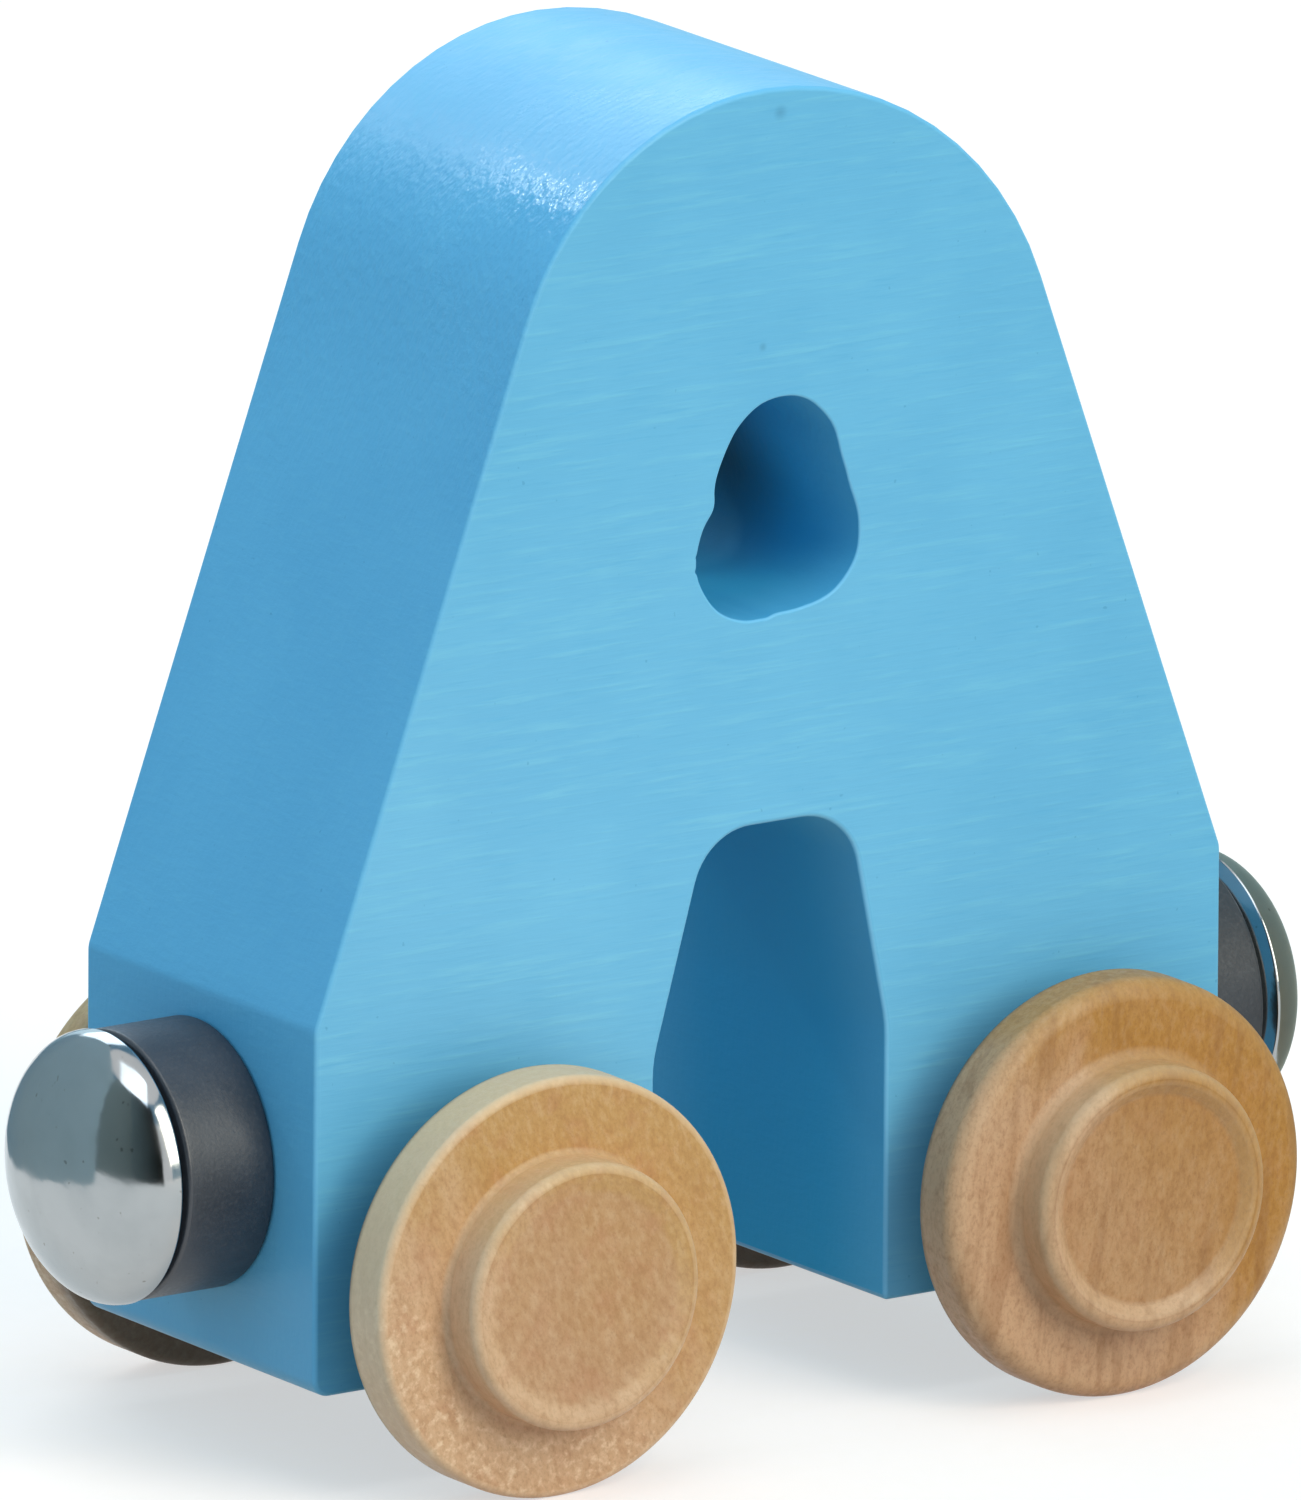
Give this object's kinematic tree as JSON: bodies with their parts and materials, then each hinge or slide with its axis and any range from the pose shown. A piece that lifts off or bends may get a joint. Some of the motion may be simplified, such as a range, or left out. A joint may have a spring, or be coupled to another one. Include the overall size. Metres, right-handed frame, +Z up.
{
  "type": "letter train car",
  "caption": "Painted wooden toy train car in the shape of a letter with an arch and a counter cut through, on turned wheelsets, with a capped ring magnet coupling at each end.",
  "frame": {"origin": "on the track under the middle of the block, where the wheels stand", "axes": "+X along the train, -Y out of the letter's front face, +Z up"},
  "size_m": [0.0684, 0.0352, 0.0636],
  "materials": {
    "blue_paint": "semi-gloss paint on hardwood",
    "maple": "turned and clear sealed",
    "dowel": "plain",
    "ferrite": "satin, ground",
    "chrome": "polished",
    "steel": "drawn wire"
  },
  "bodies": {
    "car": {"letter_body": "blue_paint", "left_magnet": "ferrite", "left_cap": "chrome", "left_nail": "steel", "right_magnet": "ferrite", "right_cap": "chrome", "right_nail": "steel"},
    "left_wheelset": {"left_axle": "dowel", "front_left_wheel": "maple", "back_left_wheel": "maple"},
    "right_wheelset": {"right_axle": "dowel", "front_right_wheel": "maple", "back_right_wheel": "maple"}
  },
  "joints": [
    {"name": "left_wheelset_roll", "type": "hinge", "parent": "car", "child": "left_wheelset", "pos_m": [-0.01565, 0, 0.01], "axis": [0, 1, 0], "continuous": true},
    {"name": "right_wheelset_roll", "type": "hinge", "parent": "car", "child": "right_wheelset", "pos_m": [0.01625, 0, 0.01], "axis": [0, 1, 0], "continuous": true}
  ]
}
